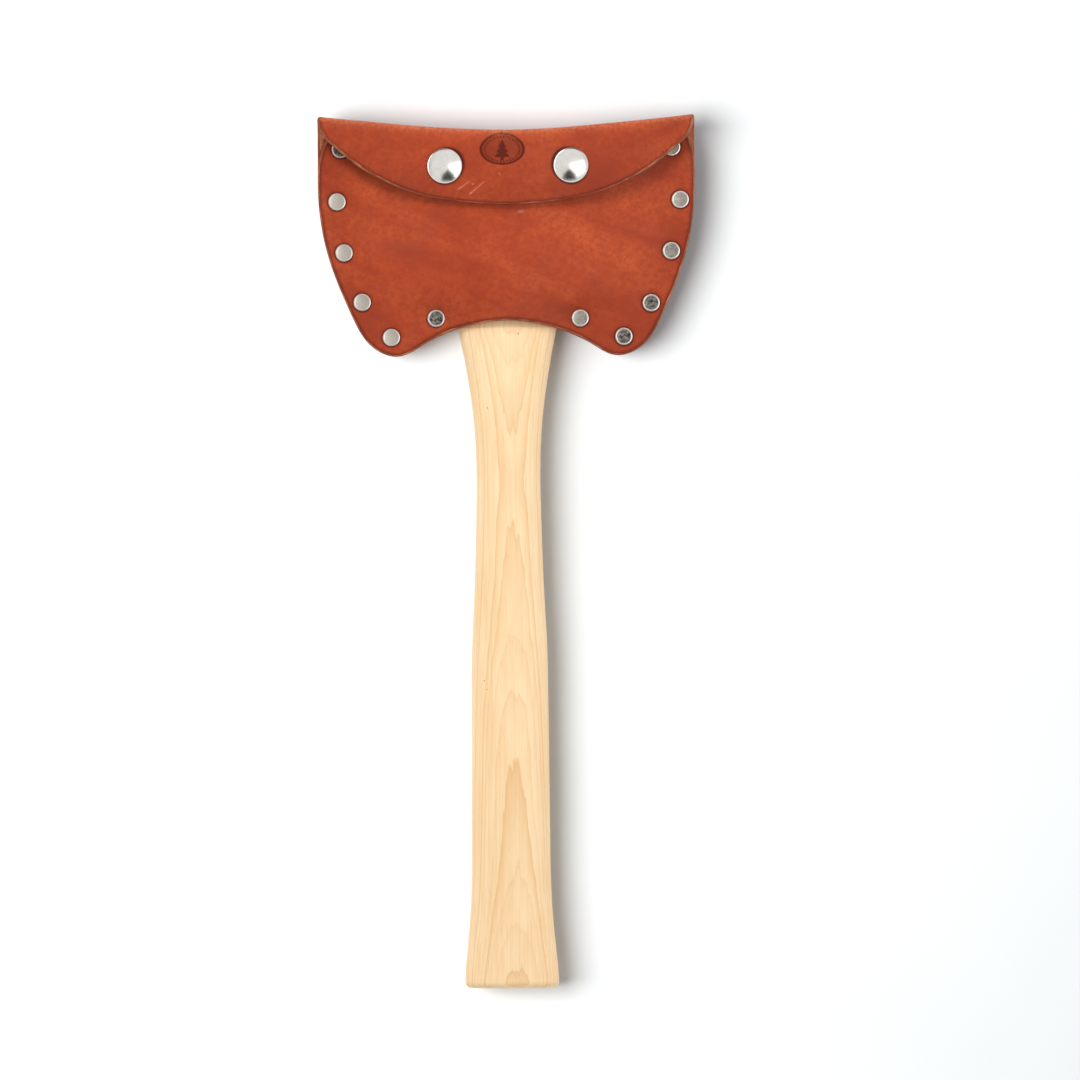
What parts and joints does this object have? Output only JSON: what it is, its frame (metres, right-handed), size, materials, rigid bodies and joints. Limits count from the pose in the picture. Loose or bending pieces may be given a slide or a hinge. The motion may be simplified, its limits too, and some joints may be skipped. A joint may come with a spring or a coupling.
{
  "type": "sheathed hatchet",
  "caption": "Double-bit hatchet with a straight wooden handle, its head in a riveted leather sheath with a snapped flap.",
  "frame": {"origin": "centre of the footprint, on the surface that the sheath's back lies on", "axes": "+Y along the handle from its butt to the top of the head, +Z out of the sheath's front, +X to the right seen from the front"},
  "size_m": [0.1696, 0.3926, 0.0352],
  "materials": {
    "forged_steel": "forged cheeks, ground bevels",
    "hickory": "sanded and oiled",
    "wedge_wood": "sawn",
    "wedge_steel": "plain",
    "leather": "vegetable tanned, russet, raw cut edges",
    "nickel": "nickel plated",
    "spring_brass": "drawn wire"
  },
  "bodies": {
    "hatchet": {"axe_head": "forged_steel", "handle": "hickory", "wooden_wedge": "wedge_wood", "steel_wedge": "wedge_steel"},
    "sheath": {"back_panel": "leather", "front_panel": "leather", "welt_left": "leather", "welt_right": "leather", "rivet_posts": "nickel", "rivet_caps": "nickel", "snap_stud_left": "nickel", "snap_stud_right": "nickel", "snap_eyelet_left": "nickel", "snap_eyelet_right": "nickel"},
    "fold": {"flap_fold": "leather"},
    "flap": {"flap": "leather", "snap_cap_left": "nickel", "snap_cap_right": "nickel", "snap_socket_left": "nickel", "snap_socket_right": "nickel", "snap_spring_left": "spring_brass", "snap_spring_right": "spring_brass"}
  },
  "joints": [
    {"name": "sheath_slide", "type": "slide", "parent": "hatchet", "child": "sheath", "axis": [0, -1, 0], "range_m": [0, 0.47]},
    {"name": "fold_hinge", "type": "hinge", "parent": "sheath", "child": "fold", "pos_m": [0, 0.1912, 0.0089], "axis": [-1, 0, 0], "range_deg": [0, 90], "deforming": ["flap_fold"]},
    {"name": "flap_hinge", "type": "hinge", "parent": "fold", "child": "flap", "pos_m": [0, 0.1911, 0.0287], "axis": [-1, 0, 0], "range_deg": [0, 90]}
  ],
  "couplings": [
    {"joint": "flap_hinge", "follows": "fold_hinge", "ratio": 1}
  ]
}
